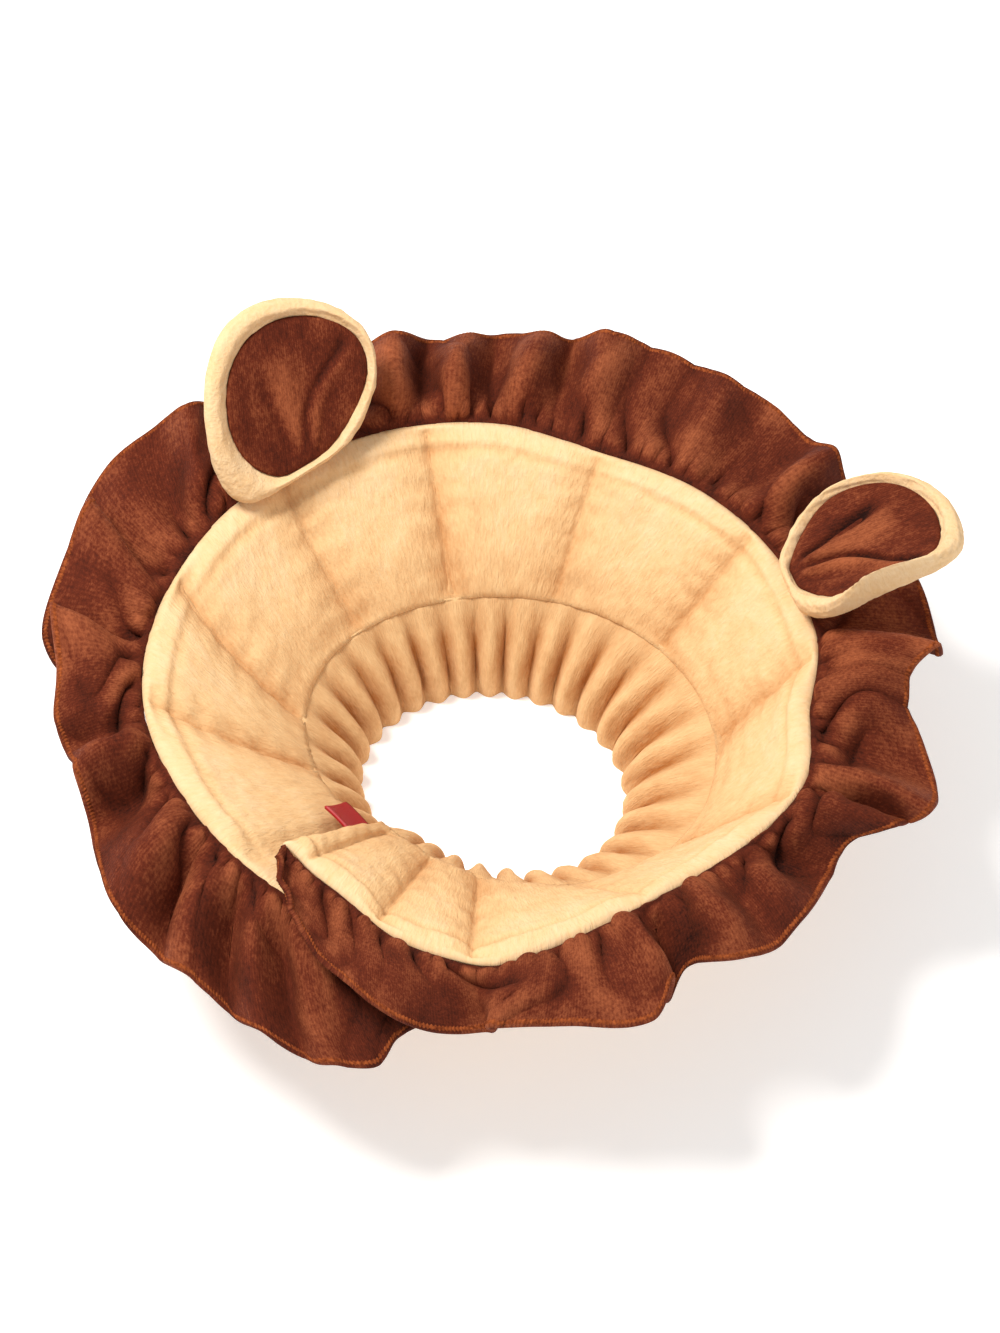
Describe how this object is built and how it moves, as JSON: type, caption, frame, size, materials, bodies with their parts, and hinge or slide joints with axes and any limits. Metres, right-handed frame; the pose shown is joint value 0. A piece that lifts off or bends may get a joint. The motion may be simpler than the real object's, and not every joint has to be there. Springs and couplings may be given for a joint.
{
  "type": "elizabethan collar",
  "caption": "Soft padded recovery collar for a small dog, dressed as a lion: quilted plush cone with gathered neck cuff, velour ruffle round the rim and round ears.",
  "frame": {"origin": "middle of the bounding box's base, on the surface that the cuff stands on", "axes": "+Z is the axis of the cone, upwards out of its mouth; +Y points to the side between the two ears; the ends of the band overlap on the -Y side"},
  "size_m": [0.293, 0.2796, 0.112],
  "materials": {
    "cream_plush": "short-pile cream plush",
    "brown_velour": "dark brown velour",
    "red_label": "plain woven red tab",
    "tape": "hook-and-loop tape"
  },
  "bodies": {
    "root": {"cone_wall": "cream_plush", "neck_cuff": "cream_plush", "ruffle": "brown_velour", "ear_left": "cream_plush", "ear_left_lining": "brown_velour", "ear_right": "cream_plush", "ear_right_lining": "brown_velour", "side_label": "red_label", "fastening_tape": "tape"}
  },
  "joints": []
}
